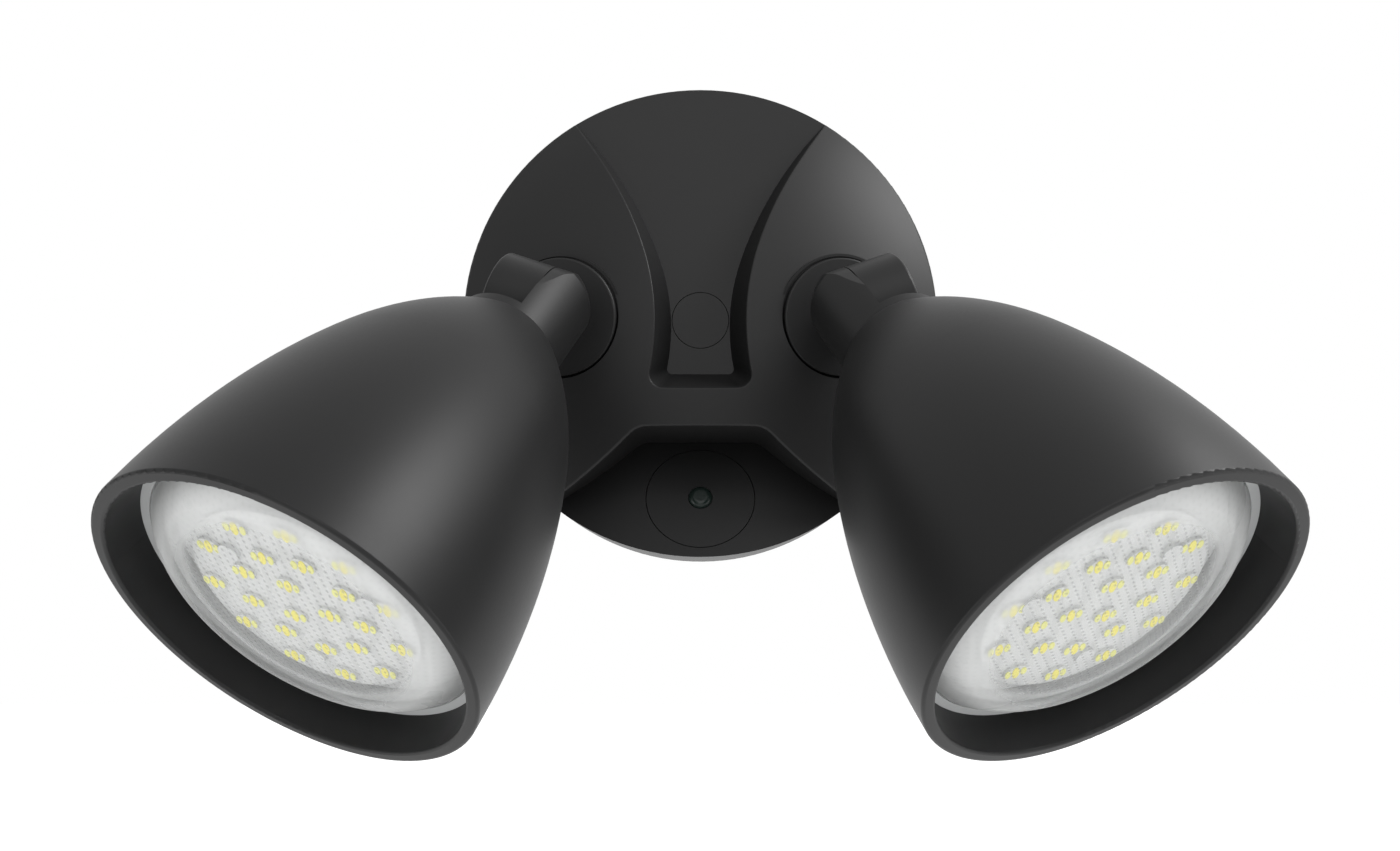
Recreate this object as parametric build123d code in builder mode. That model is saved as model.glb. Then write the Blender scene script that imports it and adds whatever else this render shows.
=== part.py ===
"""Twin-head security light, modelled as it comes apart on a bench.

Millimetres, +Z up, +X to the right, the wall is the plane y = 0 and the light stands out along -Y.
The origin is on the mounting bolt's axis, at the wall.
"""
from math import asin, cos, radians, sin, sqrt
import os

from build123d import *

# Base cover, sized to hide the mounting strap of a round wall box
strap_end = 5.05
strap_room = 5.0
box_spacing = 88.9
slot_length = 13.0
gasket_width = 5.0
strap_length = box_spacing + slot_length + 2 * strap_end
base_r = strap_length / 2 + strap_room + gasket_width
rim_depth = 32.5
crown_height = 14.5
cover_wall = 2.8
rim_round = 1.0
panel_round = 0.4
facet_round = 0.8
gasket_depth = 2.0
plate_ledge = 2.0
plate_depth = 5.0
plate_thick = 1.5
plate_gap = 0.3

# Sunk panel that narrows down the front of the cover: its flat floor, then its opening at a greater depth
panel_depth = 32.0
panel_foot = (9.6, -15.2)
panel_waist = (8.15, -1.0)
panel_knee = (11.3, 17.0)
panel_top = (34.0, 54.8)
panel_corner = 1.5
mouth_depth = 48.5
mouth_foot = (16.0, -23.2)
mouth_waist = (12.7, -3.5)
mouth_knee = (15.8, 15.3)
mouth_top = (39.3, 50.0)
mouth_corner = 4.0
panel_run_out = 30.0

# Recess under it for the light sensor: its floor slopes in from the rim, under a steep wall
facet_angle = 21.0
facet_rim_depth = 32.0
facet_root_depth = 12.0
facet_wall_lean = 2.0
facet_top = (16.5, -32.6)
facet_bow = (27.2, -42.0)
facet_end = (46.0, -54.4)
facet_corner = 6.0
cut_height = 40.0

# Mounting strap, bolt and cap
strap_width = 18.0
strap_thick = 2.0
strap_flange = 2.4
strap_boss_r = 5.0
slot_r = 2.4
bolt_r = 2.5
bolt_clear = 0.3
bolt_head_r = 4.75
bolt_head_height = 3.2
bolt_seal_thick = 1.0
bolt_tip = 0.5
bolt_slot = 1.2
bolt_tube_r = 10.6
cap_r = 7.8
cap_gap = 0.2
cap_thick = 2.6
cap_room = 1.0
ground_screw_x = 16.0
ground_r = 2.0

# Back plate screws, driver board and its parts
column_inset = 12.0
column_r = 4.0
plate_screw_r = 1.6
plate_screw_depth = 10.0
small_head_height = 1.8
grommet_r = 6.0
grommet_hole = 3.5
grommet_lip = 1.2
grommet_z = -30.0
board_thick = 1.6
driver_size = (60.0, 36.0)
driver_z = 34.0
driver_standoff = 5.5
standoff_r = 2.8
standoff_inset = 4.0
board_screw_r = 1.2
board_screw_head_r = 2.2
board_screw_length = 6.0
thread_gap = 0.05
transformer_size = (20.0, 17.0, 13.0)
capacitor_r = 4.5
capacitor_x = 10.0
capacitor_pitch = 11.0
capacitor_height = 12.0
capacitor_rise = 4.0
terminal_size = (22.0, 8.0, 9.0)
terminal_place = (12.0, -10.0)

# Light sensor
sensor_z = -49.0
sensor_disc_r = 15.2
sensor_disc_gap = 0.25
sensor_disc_thick = 2.5
sensor_lens_r = 3.3
sensor_lens_flange = 4.6
sensor_flange_thick = 1.2
sensor_dome = 1.6
sensor_bore_r = 7.0
sensor_boss_r = 17.6
sensor_floor = 2.0
sensor_board_size = (30.0, 14.0)
sensor_screw_x = 12.0
sensor_cell_r = 2.4
sensor_cell_height = 1.6

# Swivel of each lamp head, left side; the right side is its mirror image
swivel_x = -37.8
swivel_z = -2.0
swivel_splay = 10.0
swivel_droop = 10.0
swivel_disc_r = 15.7
swivel_disc_gap = 0.6
swivel_disc_thick = 2.8
swivel_proud = 1.2
collar_r = 17.0
collar_drop = 1.9
swivel_edge = 0.5
shank_r = 6.5
shank_length = 13.0
running_gap = 0.08
wire_bore_r = 2.6
pad_r = 19.0
pad_thick = 4.4
swivel_seal_in = 10.2
swivel_seal_out = 12.4
seal_thick = 1.2
seal_gap = 0.15
washer_thick = 1.2
washer_r = 11.0
nut_af = 19.0
nut_thick = 5.0

# Elbow: barrel of the arm and lug of the neck, side by side on the tilt axis
elbow_height = 23.3
barrel_r = 11.8
barrel_out = 8.8
barrel_in = -3.45
barrel_edge = 0.8
neck_r = 13.5
lug_face = -3.75
lug_round = 14.6
lug_spread = 13.0
lug_flare = 14.2
wing_reach = 13.5
socket_gap = 0.4
stem_r = 5.9
stem_shift = 2.7
tilt_washer_r = 9.0
tilt_washer_thick = 1.1
tilt_screw_r = 3.0
tilt_screw_end = -10.5
tilt_head_r = 5.0
tilt_head_height = 3.4
tilt_head_room = 0.4
tilt_cap_r = 8.0
tilt_cap_thick = 1.8

# Lamp head
head_yaw = 61.0
head_pitch = 46.9
mouth_reach = 107.4
head_r = 39.85
widest_back = 2.7
side_radius = 182.4
shoulder_back = 58.6
shoulder_radius = 105.6
rear_back = 91.5
rear_wall = 5.0
head_wall = 2.6
lip_width = 2.8
lip_round = 0.7
hood_draft = 0.3
seat_bore_r = 36.4
ledge_in = 33.0
ledge_thick = 3.5
sink_ledge_back = 24.0
sink_ledge_in = 27.8
sink_ledge_thick = 3.0
spigot_r = 7.8
spigot_length = 14.5
neck_nut_af = 22.0
neck_nut_thick = 6.0
fit_gap = 0.15

# Lens stack and light board
lens_r = 34.2
lens_edge_back = 9.5
lens_height = 8.5
lens_crown_r = 24.0
lens_crown_drop = 1.9
lens_thick = 2.2
lens_flange_r = 36.2
lens_flange_thick = 3.0
lens_seal_thick = 1.0
lens_seal_in = 33.2
bezel_thick = 2.0
bezel_in = 34.5
sink_pedestal_r = 22.0
sink_shoulder_r = 25.0
sink_disc_r = 32.5
sink_disc_thick = 4.0
sink_screw_ring = 29.9
sink_fin_length = 15.0
sink_fin_thick = 2.0
sink_fin_pitch = 6.5
sink_fin_count = 7
sink_fin_half = 27.0
led_board_r = 24.0
led_board_back = 7.5
led_size = (3.0, 3.0, 0.8)
led_rings = ((3, 5.4, 60.0), (9, 12.9, 22.9), (11, 20.5, 9.7))
led_screw_r = 1.2
led_screw_head_r = 2.1
led_screw_head_height = 1.0
led_screw_ring = 16.8
led_screw_length = 8.0
reflector_in = 22.3
reflector_flat = 24.6
reflector_out = 31.6
reflector_fall = 3.5
reflector_wall = 1.0
reflector_skirt_r = 27.0


dome_r = (base_r**2 + crown_height**2) / (2 * crown_height)


def facing(direction, origin=(0, 0, 0), x_dir=None):
    """Plane through origin that faces along direction."""
    return Plane(origin=origin, x_dir=x_dir, z_dir=direction)


def crown_at(radius):
    """Depth of the domed front at a distance from the middle of the base."""
    return rim_depth + crown_height - dome_r + sqrt(dome_r**2 - radius**2)


# Planes of the base: BASE looks out of the wall, through the middle of the round cover
BASE = facing((0, -1, 0), (0, 0, 0), (1, 0, 0))
PANEL = BASE.offset(panel_depth)
facet_origin = (0, -facet_rim_depth, -base_r)
FACET = facing((0, -cos(radians(facet_angle)), sin(radians(facet_angle))), facet_origin, (1, 0, 0))

# Swivel frame: origin on the disc's front face, z out of the base, x along the tilt axis
splay, droop = radians(swivel_splay), radians(swivel_droop)
swivel_dir = Vector(-sin(splay) * cos(droop), -cos(splay) * cos(droop), -sin(droop))
swivel_centre = Vector(swivel_x, -crown_at(sqrt(swivel_x**2 + swivel_z**2)), swivel_z)
swivel_front = swivel_centre + swivel_dir * swivel_proud
elbow = swivel_front + swivel_dir * elbow_height

# Head frame: origin at the elbow, z towards the mouth, x along the tilt axis
yaw, pitch = radians(head_yaw), radians(head_pitch)
head_dir = Vector(-cos(pitch) * cos(yaw), -cos(pitch) * sin(yaw), -sin(pitch))
tilt_dir = head_dir.cross(swivel_dir).normalized()
SWIVEL = facing(swivel_dir, swivel_front, tilt_dir)
HEAD = facing(head_dir, elbow, tilt_dir)
HEAD_CUT = facing(tilt_dir.cross(head_dir), elbow, tilt_dir)
TILT = facing(tilt_dir, elbow, head_dir)
head_axis = Axis(elbow, head_dir)
tilt_axis = Axis(elbow, tilt_dir)
mouth = HEAD.offset(mouth_reach)


def save(name, piece):
    """Write one piece under its own name."""
    piece.label = name
    export_step(piece, f"parts/{name}.step")


def save_pair(name, piece):
    """Write a piece of the left head and its mirror image on the right."""
    save(f"left_{name}", piece)
    save(f"right_{name}", mirror(piece, about=Plane.YZ))


def ring(plane, outer, inner, height):
    """Flat ring of a height, standing on a plane."""
    with BuildPart() as made:
        with BuildSketch(plane):
            Circle(outer)
            Circle(inner, mode=Mode.SUBTRACT)
        extrude(amount=height)
    return made


def on_dome(edge):
    """Whether an edge lies on the domed front and not along its rim."""
    middle = Vector(0, dome_r - rim_depth - crown_height, 0)
    half_way = edge @ 0.5
    along_rim = sqrt(half_way.X**2 + half_way.Z**2) > base_r - 2 * rim_round
    return not along_rim and all(abs((edge @ u - middle).length - dome_r) < 0.02 for u in (0, 0.3, 0.5, 0.7, 1))


def sunk_panel(drop):
    """Solid the sunk panel takes out of the cover, lowered and widened by drop."""
    floor = (panel_depth, panel_foot, panel_waist, panel_knee, panel_top, panel_corner)
    opening = (mouth_depth, mouth_foot, mouth_waist, mouth_knee, mouth_top, mouth_corner)
    with BuildPart() as cut:
        for depth, foot, waist, knee, top, corner in (floor, opening):
            with BuildSketch(BASE.offset(depth - drop)) as outline:
                with BuildLine():
                    low = ThreePointArc(foot, waist, knee)
                    high = TangentArc(low @ 1, top, tangent=low % 1)
                    run = Line(high @ 1, high @ 1 + (high % 1) * panel_run_out)
                    Polyline(run @ 1, (0, (run @ 1).Y), (0, foot[1]), foot)
                make_face()
                mirror(about=Plane.YZ)
                fillet(outline.vertices().group_by(Axis.Y)[0].filter_by(lambda v: abs(v.X) > 1), corner)
                if drop:
                    offset(amount=drop)
        loft(ruled=True)
    return cut.part


def facet_step(drop):
    """Solid the sensor's recess takes out of the cover, lowered and widened by drop."""
    reach = 2 * base_r
    with BuildPart() as cut:
        with BuildSketch(BASE.offset(facet_root_depth - drop)) as outline:
            with BuildLine():
                top = Line((0, facet_top[1]), facet_top)
                side = ThreePointArc(facet_top, facet_bow, facet_end)
                run = Line(side @ 1, side @ 1 + (side % 1) * reach)
                Polyline(run @ 1, (0, (run @ 1).Y), top @ 0)
            make_face()
            mirror(about=Plane.YZ)
            fillet(outline.vertices().group_by(Axis.Y)[-1].filter_by(lambda v: abs(v.X) > 1), facet_corner)
            if drop:
                offset(amount=drop)
        extrude(amount=cut_height, taper=-facet_wall_lean)
        split(bisect_by=FACET.offset(-drop), keep=Keep.TOP)
    return cut.part


def dome(radius, top, rear, edge_round):
    """Round solid with a domed front, from the depth rear to the depth top."""
    half = radius / 2
    over = dome_r - (base_r - radius)
    sink = top - over + sqrt(over**2 - half**2)
    edge = top - over + sqrt(over**2 - radius**2)
    with BuildPart() as made:
        with BuildSketch(facing((0, 0, -1), (0, 0, 0), (1, 0, 0))) as half_section:
            with BuildLine():
                ThreePointArc((0, top), (half, sink), (radius, edge))
                Polyline((radius, edge), (radius, rear), (0, rear), (0, top))
            make_face()
            if edge_round:
                fillet(half_section.vertices().sort_by_distance((radius, edge))[0], edge_round)
        revolve(axis=Axis((0, 0, 0), (0, 1, 0)))
    return made.part


# Depths of the stack behind the panel, along the base axis
plate_front = plate_depth + plate_thick
bolt_seat = panel_depth - cap_thick - cap_room - bolt_head_height - bolt_seal_thick
board_depth = plate_front + driver_standoff
sensor_spot = (0, (sensor_z + base_r) / cos(radians(facet_angle)))
column_place = (base_r - column_inset) * sqrt(0.5)
columns = [(column_place * sx, column_place * sz) for sx in (1, -1) for sz in (1, -1)]
standoffs = [(sx * (driver_size[0] / 2 - standoff_inset), driver_z + sz * (driver_size[1] / 2 - standoff_inset))
             for sx in (1, -1) for sz in (1, -1)]
RIGHT_SWIVEL = facing((-swivel_dir.X, swivel_dir.Y, swivel_dir.Z),
                      (-swivel_front.X, swivel_front.Y, swivel_front.Z),
                      (-tilt_dir.X, tilt_dir.Y, tilt_dir.Z))
swivels = (SWIVEL, RIGHT_SWIVEL)

with BuildPart() as hollow:
    add(dome(base_r - cover_wall, rim_depth + crown_height - cover_wall, 0, 0))
    add(sunk_panel(cover_wall), mode=Mode.SUBTRACT)
    add(facet_step(cover_wall), mode=Mode.SUBTRACT)
    with BuildSketch(BASE.offset(plate_front)):
        Circle(bolt_tube_r)
    extrude(amount=base_r, mode=Mode.SUBTRACT)
    with BuildSketch(BASE.offset(plate_front)):
        with Locations(*columns):
            Circle(column_r)
    extrude(amount=base_r, mode=Mode.SUBTRACT)
    for swivel in swivels:
        with BuildSketch(swivel.offset(-swivel_disc_thick - pad_thick)):
            Circle(pad_r)
        extrude(amount=pad_r, mode=Mode.SUBTRACT)
    with BuildSketch(FACET.offset(-sensor_disc_thick - sensor_floor)):
        with Locations(sensor_spot):
            Circle(sensor_boss_r)
    extrude(amount=sensor_disc_thick + sensor_floor, mode=Mode.SUBTRACT)

with BuildPart() as base_cover:
    add(dome(base_r, rim_depth + crown_height, gasket_depth, rim_round))
    add(sunk_panel(0), mode=Mode.SUBTRACT)
    fillet(base_cover.edges().filter_by(on_dome), panel_round)
    add(facet_step(0), mode=Mode.SUBTRACT)
    recess_edges = base_cover.edges().filter_by_position(Axis.Z, -base_r, facet_top[1] + facet_corner)
    fillet(recess_edges.filter_by(on_dome), facet_round)
    for swivel in swivels:
        with BuildSketch(swivel.offset(-swivel_disc_thick - pad_thick)):
            Circle(collar_r)
        extrude(amount=swivel_disc_thick + pad_thick - collar_drop)
    add(hollow.part, mode=Mode.SUBTRACT)
    for swivel in swivels:
        with BuildSketch(swivel.offset(-swivel_disc_thick)):
            Circle(swivel_disc_r + swivel_disc_gap)
        extrude(amount=pad_r, mode=Mode.SUBTRACT)
        with BuildSketch(swivel):
            Circle(shank_r + running_gap)
        extrude(amount=-swivel_disc_thick - pad_thick, mode=Mode.SUBTRACT)
        with BuildSketch(swivel.offset(-swivel_disc_thick)):
            Circle(swivel_seal_out + seal_gap)
            Circle(swivel_seal_in - seal_gap, mode=Mode.SUBTRACT)
        extrude(amount=-seal_thick, mode=Mode.SUBTRACT)
    with BuildSketch(PANEL):
        Circle(cap_r + cap_gap)
    extrude(amount=-cap_thick, mode=Mode.SUBTRACT)
    with BuildSketch(BASE.offset(bolt_seat)):
        Circle(cap_r - 1.2)
    extrude(amount=bolt_head_height + cap_room + 1, mode=Mode.SUBTRACT)
    with BuildSketch(BASE):
        Circle(bolt_r + bolt_clear)
    extrude(amount=bolt_seat, mode=Mode.SUBTRACT)
    with BuildSketch(FACET):
        with Locations(sensor_spot):
            Circle(sensor_disc_r + sensor_disc_gap)
    extrude(amount=-sensor_disc_thick, mode=Mode.SUBTRACT)
    with BuildSketch(FACET):
        with Locations(sensor_spot):
            Circle(sensor_bore_r)
    extrude(amount=-sensor_disc_thick - sensor_floor, mode=Mode.SUBTRACT)
    with BuildSketch(BASE.offset(plate_front)):
        with Locations(*columns):
            Circle(plate_screw_r + thread_gap)
    extrude(amount=plate_screw_depth, mode=Mode.SUBTRACT)
    with BuildSketch(FACET.offset(-sensor_disc_thick - sensor_floor)):
        with Locations((sensor_screw_x, sensor_spot[1]), (-sensor_screw_x, sensor_spot[1])):
            Circle(board_screw_r + thread_gap)
    extrude(amount=sensor_floor, mode=Mode.SUBTRACT)

with BuildPart() as wall_gasket:
    with BuildSketch(BASE):
        Circle(base_r - thread_gap)
        Circle(base_r - gasket_width, mode=Mode.SUBTRACT)
    extrude(amount=gasket_depth)

with BuildPart() as back_plate:
    with BuildSketch(BASE.offset(plate_depth)):
        Circle(base_r - cover_wall - plate_gap)
    extrude(amount=plate_thick)
    with BuildSketch(BASE.offset(plate_front)):
        with Locations(*standoffs):
            Circle(standoff_r)
    extrude(amount=driver_standoff)
    with BuildSketch(BASE.offset(plate_depth)):
        with Locations(*standoffs):
            Circle(board_screw_r + thread_gap)
        with Locations(*columns):
            Circle(plate_screw_r + bolt_clear)
        with Locations((0, grommet_z)):
            Circle(grommet_r)
        Circle(bolt_r + bolt_clear)
    extrude(amount=plate_thick + driver_standoff, mode=Mode.SUBTRACT)

with BuildPart() as plate_screws:
    with BuildSketch(BASE.offset(plate_depth)):
        with Locations(*columns):
            Circle(2 * plate_screw_r)
    extrude(amount=-small_head_height)
    with BuildSketch(BASE.offset(plate_depth)):
        with Locations(*columns):
            Circle(plate_screw_r)
    extrude(amount=plate_thick + plate_screw_depth - 1)

with BuildPart() as mounting_strap:
    with BuildSketch(BASE):
        RectangleRounded(strap_length, strap_width, strap_width / 4)
        with Locations((box_spacing / 2, 0), (-box_spacing / 2, 0)):
            SlotOverall(slot_length, 2 * slot_r, mode=Mode.SUBTRACT)
    extrude(amount=strap_thick)
    with BuildSketch(BASE.offset(strap_thick)):
        Circle(strap_boss_r)
    extrude(amount=strap_flange)
    with BuildSketch(BASE):
        Circle(bolt_r + thread_gap)
        with Locations((ground_screw_x, 0)):
            Circle(ground_r + thread_gap)
    extrude(amount=strap_thick + strap_flange, mode=Mode.SUBTRACT)

with BuildPart() as ground_screw:
    with BuildSketch(BASE.offset(strap_thick)):
        with Locations((ground_screw_x, 0)):
            RegularPolygon(2 * ground_r, 6)
    extrude(amount=small_head_height)
    with BuildSketch(BASE):
        with Locations((ground_screw_x, 0)):
            Circle(ground_r)
    extrude(amount=strap_thick)

with BuildPart() as mounting_bolt:
    with BuildSketch(BASE.offset(bolt_seat + bolt_seal_thick)):
        Circle(bolt_head_r)
    extrude(amount=bolt_head_height)
    head_rim = mounting_bolt.edges().filter_by(GeomType.CIRCLE).sort_by(Axis.Y)[0]
    fillet(head_rim, bolt_head_height / 3)
    with BuildSketch(BASE.offset(bolt_tip)):
        Circle(bolt_r)
    extrude(amount=bolt_seat + bolt_seal_thick - bolt_tip)
    with BuildSketch(BASE.offset(bolt_seat + bolt_seal_thick + bolt_head_height)):
        Rectangle(1.4 * bolt_head_r, bolt_slot)
        Rectangle(bolt_slot, 1.4 * bolt_head_r)
    extrude(amount=-bolt_head_height / 2, mode=Mode.SUBTRACT)

bolt_seal = ring(BASE.offset(bolt_seat), bolt_head_r + 1, bolt_r + thread_gap, bolt_seal_thick)

with BuildPart() as bolt_cap:
    with BuildSketch(PANEL):
        Circle(cap_r)
    extrude(amount=-cap_thick)

with BuildPart() as wire_grommet:
    with BuildSketch(facing((0, 0, -1), (0, 0, grommet_z), (1, 0, 0))) as section:
        with BuildLine():
            rear = plate_depth - grommet_lip
            front = plate_front + grommet_lip
            waist = grommet_r - fit_gap
            over = grommet_r + grommet_lip
            Polyline((grommet_hole, rear), (over, rear), (over, plate_depth), (waist, plate_depth),
                     (waist, plate_front), (over, plate_front), (over, front), (grommet_hole, front), close=True)
        make_face()
    revolve(axis=Axis((0, 0, grommet_z), (0, 1, 0)))

with BuildPart() as driver_board:
    with BuildSketch(BASE.offset(board_depth)):
        with Locations((0, driver_z)):
            Rectangle(*driver_size)
        with Locations(*standoffs):
            Circle(board_screw_r + fit_gap, mode=Mode.SUBTRACT)
    extrude(amount=board_thick)

with BuildPart() as board_screws:
    with BuildSketch(BASE.offset(board_depth + board_thick)):
        with Locations(*standoffs):
            Circle(board_screw_head_r)
    extrude(amount=small_head_height)
    with BuildSketch(BASE.offset(board_depth + board_thick)):
        with Locations(*standoffs):
            Circle(board_screw_r)
    extrude(amount=-board_screw_length)

with BuildPart() as transformer:
    with BuildSketch(BASE.offset(board_depth + board_thick)):
        with Locations((-driver_size[0] / 5, driver_z)):
            Rectangle(transformer_size[0], transformer_size[1] * 0.8)
    extrude(amount=transformer_size[2])
    with BuildSketch(BASE.offset(board_depth + board_thick + transformer_size[2] / 4)):
        with Locations((-driver_size[0] / 5, driver_z)):
            Rectangle(transformer_size[0] * 0.7, transformer_size[1])
    extrude(amount=transformer_size[2] / 2)

with BuildPart() as capacitors:
    with BuildSketch(BASE.offset(board_depth + board_thick)):
        for step in range(2):
            with Locations((capacitor_x + step * capacitor_pitch, driver_z + capacitor_rise)):
                Circle(capacitor_r)
    extrude(amount=capacitor_height)

with BuildPart() as terminal_block:
    with BuildSketch(BASE.offset(board_depth + board_thick)):
        with Locations((terminal_place[0], driver_z + terminal_place[1])):
            Rectangle(terminal_size[0], terminal_size[1])
    extrude(amount=terminal_size[2])
    with BuildSketch(BASE.offset(board_depth + board_thick + terminal_size[2])):
        with Locations((terminal_place[0], driver_z + terminal_place[1])):
            with GridLocations(terminal_size[0] / 3, 1, 3, 1):
                Circle(terminal_size[1] / 4)
    extrude(amount=-terminal_size[2] / 2, mode=Mode.SUBTRACT)

with BuildPart() as sensor_bezel:
    with BuildSketch(FACET):
        with Locations(sensor_spot):
            Circle(sensor_disc_r)
            Circle(sensor_lens_r + fit_gap, mode=Mode.SUBTRACT)
    extrude(amount=-sensor_disc_thick)
    with BuildSketch(FACET.offset(-sensor_disc_thick)):
        with Locations(sensor_spot):
            Circle(sensor_lens_flange + fit_gap)
    extrude(amount=sensor_flange_thick, mode=Mode.SUBTRACT)

with BuildPart() as sensor_lens:
    with BuildSketch(FACET.offset(-sensor_disc_thick)):
        with Locations(sensor_spot):
            Circle(sensor_lens_flange)
    extrude(amount=sensor_flange_thick)
    with BuildSketch(FACET.offset(-sensor_disc_thick)):
        with Locations(sensor_spot):
            Circle(sensor_lens_r)
    extrude(amount=sensor_disc_thick + sensor_dome)
    lens_rim = sensor_lens.edges().filter_by(GeomType.CIRCLE).sort_by(Axis((0, 0, 0), FACET.z_dir))[-1]
    fillet(lens_rim, sensor_dome)

sensor_back = FACET.offset(-sensor_disc_thick - sensor_floor)
sensor_screw_spots = [(side * sensor_screw_x, sensor_spot[1]) for side in (1, -1)]

with BuildPart() as sensor_board:
    with BuildSketch(sensor_back):
        with Locations(sensor_spot):
            Rectangle(*sensor_board_size)
        with Locations(*sensor_screw_spots):
            Circle(board_screw_r + fit_gap, mode=Mode.SUBTRACT)
    extrude(amount=-board_thick)

with BuildPart() as sensor_cell:
    with BuildSketch(sensor_back):
        with Locations(sensor_spot):
            Circle(sensor_cell_r)
    extrude(amount=sensor_cell_height)

with BuildPart() as sensor_screws:
    with BuildSketch(sensor_back.offset(-board_thick)):
        with Locations(*sensor_screw_spots):
            Circle(board_screw_head_r)
    extrude(amount=-small_head_height)
    with BuildSketch(sensor_back.offset(-board_thick)):
        with Locations(*sensor_screw_spots):
            Circle(board_screw_r)
    extrude(amount=board_thick + sensor_floor - 0.4)

# Arm of the left head: disc, shank, stem and barrel are one casting
with BuildPart() as swivel_arm:
    with BuildSketch(SWIVEL.offset(-swivel_disc_thick)):
        Circle(swivel_disc_r)
    extrude(amount=swivel_disc_thick)
    fillet(swivel_arm.edges().sort_by(Axis(swivel_front, swivel_dir))[-1], swivel_edge)
    with BuildSketch(SWIVEL.offset(-swivel_disc_thick)):
        Circle(shank_r)
    extrude(amount=-shank_length)
    with BuildSketch(SWIVEL):
        with Locations((stem_shift, 0)):
            Circle(stem_r)
    extrude(amount=elbow_height)
    with BuildSketch(HEAD_CUT) as barrel:
        with Locations(((barrel_out + barrel_in) / 2, barrel_r / 2)):
            Rectangle(barrel_out - barrel_in, barrel_r)
        fillet(barrel.vertices().sort_by_distance((barrel_out, barrel_r))[0], barrel_edge)
    revolve(axis=tilt_axis)
    with BuildSketch(TILT.offset(barrel_out)):
        Circle(tilt_cap_r + fit_gap)
    extrude(amount=-tilt_cap_thick, mode=Mode.SUBTRACT)
    with BuildSketch(TILT.offset(barrel_out)):
        Circle(tilt_head_r + socket_gap)
    extrude(amount=-tilt_cap_thick - tilt_head_room - tilt_head_height, mode=Mode.SUBTRACT)
    with BuildSketch(TILT.offset(barrel_in)):
        Circle(tilt_screw_r + running_gap)
    extrude(amount=barrel_out - barrel_in, mode=Mode.SUBTRACT)
    with BuildSketch(SWIVEL.offset(-swivel_disc_thick - shank_length)):
        Circle(wire_bore_r)
    extrude(amount=swivel_disc_thick + shank_length + elbow_height - tilt_screw_r / 2, mode=Mode.SUBTRACT)

pad_back = SWIVEL.offset(-swivel_disc_thick - pad_thick)
swivel_seal = ring(SWIVEL.offset(-swivel_disc_thick - seal_thick), swivel_seal_out, swivel_seal_in, seal_thick)
swivel_washer = ring(pad_back.offset(-washer_thick), washer_r, shank_r + thread_gap, washer_thick)

with BuildPart() as swivel_nut:
    with BuildSketch(pad_back.offset(-washer_thick)):
        RegularPolygon(nut_af / 2, 6, major_radius=False)
        Circle(shank_r + thread_gap, mode=Mode.SUBTRACT)
    extrude(amount=-nut_thick)

with BuildPart() as tilt_cap:
    with BuildSketch(TILT.offset(barrel_out)):
        Circle(tilt_cap_r)
    extrude(amount=-tilt_cap_thick)

tilt_washer = ring(TILT.offset(barrel_in - tilt_washer_thick), tilt_washer_r, tilt_screw_r + thread_gap, tilt_washer_thick)

head_seat = barrel_out - tilt_cap_thick - tilt_head_room - tilt_head_height
with BuildPart() as tilt_screw:
    with BuildSketch(TILT.offset(head_seat)):
        Circle(tilt_head_r)
    extrude(amount=tilt_head_height)
    with BuildSketch(TILT.offset(tilt_screw_end)):
        Circle(tilt_screw_r)
    extrude(amount=head_seat - tilt_screw_end)
    with BuildSketch(TILT.offset(head_seat + tilt_head_height)):
        RegularPolygon(tilt_head_r / 2, 6)
    extrude(amount=-tilt_head_height / 2, mode=Mode.SUBTRACT)

rear_face = mouth_reach - rear_back
with BuildPart() as neck:
    with BuildSketch(HEAD_CUT):
        with BuildLine():
            turn = asin(neck_r / lug_round)
            nose = ThreePointArc((0, -lug_round), (lug_round * sin(turn / 2), -lug_round * cos(turn / 2)),
                                 (neck_r, -lug_round * cos(turn)))
            Polyline(nose @ 1, (neck_r, rear_face), (0, rear_face), nose @ 0)
        make_face()
    revolve(axis=head_axis)
    with BuildSketch(TILT.offset(-2 * neck_r)):
        Circle(barrel_r)
        with Locations((lug_spread + neck_r / 2, 0)):
            Rectangle(neck_r, 2 * lug_flare)
        make_hull()
    extrude(amount=4 * neck_r, mode=Mode.INTERSECT)
    with BuildSketch(HEAD.offset(-2 * lug_round)):
        with Locations((neck_r + lug_face, 0)):
            Rectangle(2 * neck_r, 3 * neck_r)
    extrude(amount=2 * lug_round + wing_reach, mode=Mode.SUBTRACT)
    with BuildSketch(TILT.offset(lug_face)):
        Circle(tilt_washer_r + fit_gap)
    extrude(amount=barrel_in - tilt_washer_thick - lug_face, mode=Mode.SUBTRACT)
    with BuildSketch(TILT.offset(tilt_screw_end)):
        Circle(tilt_screw_r + thread_gap)
    extrude(amount=lug_face - tilt_screw_end, mode=Mode.SUBTRACT)
    with BuildSketch(HEAD.offset(rear_face)):
        Circle(spigot_r)
    extrude(amount=spigot_length)
    with BuildSketch(HEAD.offset(wing_reach)):
        Circle(wire_bore_r)
    extrude(amount=mouth_reach, mode=Mode.SUBTRACT)

def side(back, inset):
    """Point on the bell's flank at a distance behind the mouth, moved in from the skin."""
    turn = asin((back - widest_back) / side_radius)
    bend = side_radius - inset
    return (head_r - side_radius + bend * cos(turn), mouth_reach - widest_back - bend * sin(turn))


def shoulder(back, inset):
    """Point on the bell's rounded rear at a distance behind the mouth, moved in from the skin."""
    start = asin((shoulder_back - widest_back) / side_radius)
    skin_r = head_r - side_radius * (1 - cos(start))
    turn = asin(sin(start) + (back - shoulder_back) / shoulder_radius)
    bend = shoulder_radius - inset
    middle = (skin_r - shoulder_radius * cos(start), mouth_reach - shoulder_back + shoulder_radius * sin(start))
    return (middle[0] + bend * cos(turn), middle[1] - bend * sin(turn))


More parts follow.
